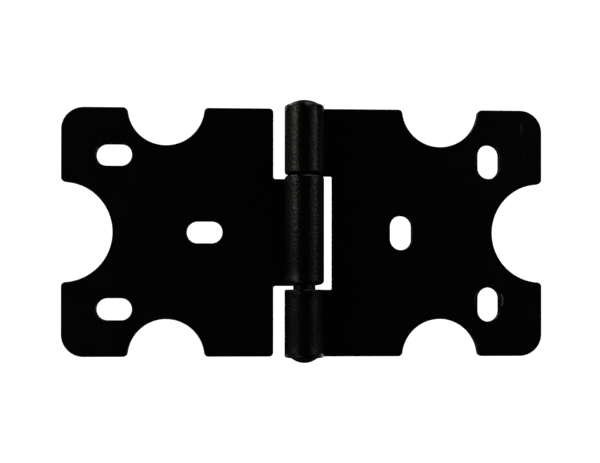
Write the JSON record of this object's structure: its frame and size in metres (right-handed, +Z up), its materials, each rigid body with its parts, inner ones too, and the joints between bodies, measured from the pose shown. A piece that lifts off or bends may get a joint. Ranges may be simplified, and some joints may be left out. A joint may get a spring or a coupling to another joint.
{
  "type": "butt hinge",
  "caption": "Flat open butt hinge with scalloped, slotted steel leaves rolled round a headed pin, powder coated black.",
  "frame": {"origin": "middle of the pin's axis, which is the centre of the whole hinge's box when the leaves lie flat open", "axes": "+Z up along the pin, towards its flatter head; +X towards the leaf with the outer knuckles; -Y the side that the barrel stands out of, so the leaves' flat screwed faces point along +Y"},
  "size_m": [0.1724, 0.014, 0.0928],
  "materials": {
    "leaf_coat": "satin black powder coat over steel plate, fine orange-peel texture",
    "pin_coat": "satin black coat over a steel pin, slightly smoother on the domed heads"
  },
  "bodies": {
    "right_leaf_and_pin": {"right_leaf": "leaf_coat", "hinge_pin": "pin_coat"},
    "left_leaf": {"left_leaf": "leaf_coat"}
  },
  "joints": [
    {"name": "leaf_swing", "type": "hinge", "parent": "right_leaf_and_pin", "child": "left_leaf", "pos_m": [0, 0, 0], "axis": [0, 0, 1], "range_deg": [-110, 185]}
  ]
}
